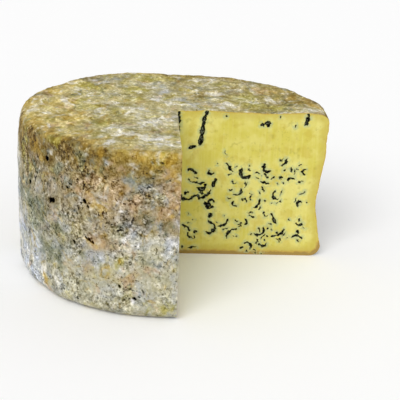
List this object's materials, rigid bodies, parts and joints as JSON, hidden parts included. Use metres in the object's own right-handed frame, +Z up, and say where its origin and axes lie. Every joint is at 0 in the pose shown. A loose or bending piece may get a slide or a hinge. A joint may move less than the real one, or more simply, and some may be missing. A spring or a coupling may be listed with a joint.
{
  "type": "wheel of blue cheese",
  "caption": "Wheel of soft blue cheese with a quarter cut out, a mottled natural rind and yellow paste with blue-green veins.",
  "frame": {"origin": "centre of the bounding box on the flat underside, where the wheel rests", "axes": "+Z up through the wheel; the notch is between +X and -Y, with its far cut face looking along -Y and its near cut face looking along +X"},
  "size_m": [0.199, 0.203, 0.1032],
  "materials": {
    "cheese": "matt, with a rough mottled rind and smooth moist cut faces"
  },
  "bodies": {
    "root": {"cheese_wheel": "cheese"}
  },
  "joints": []
}
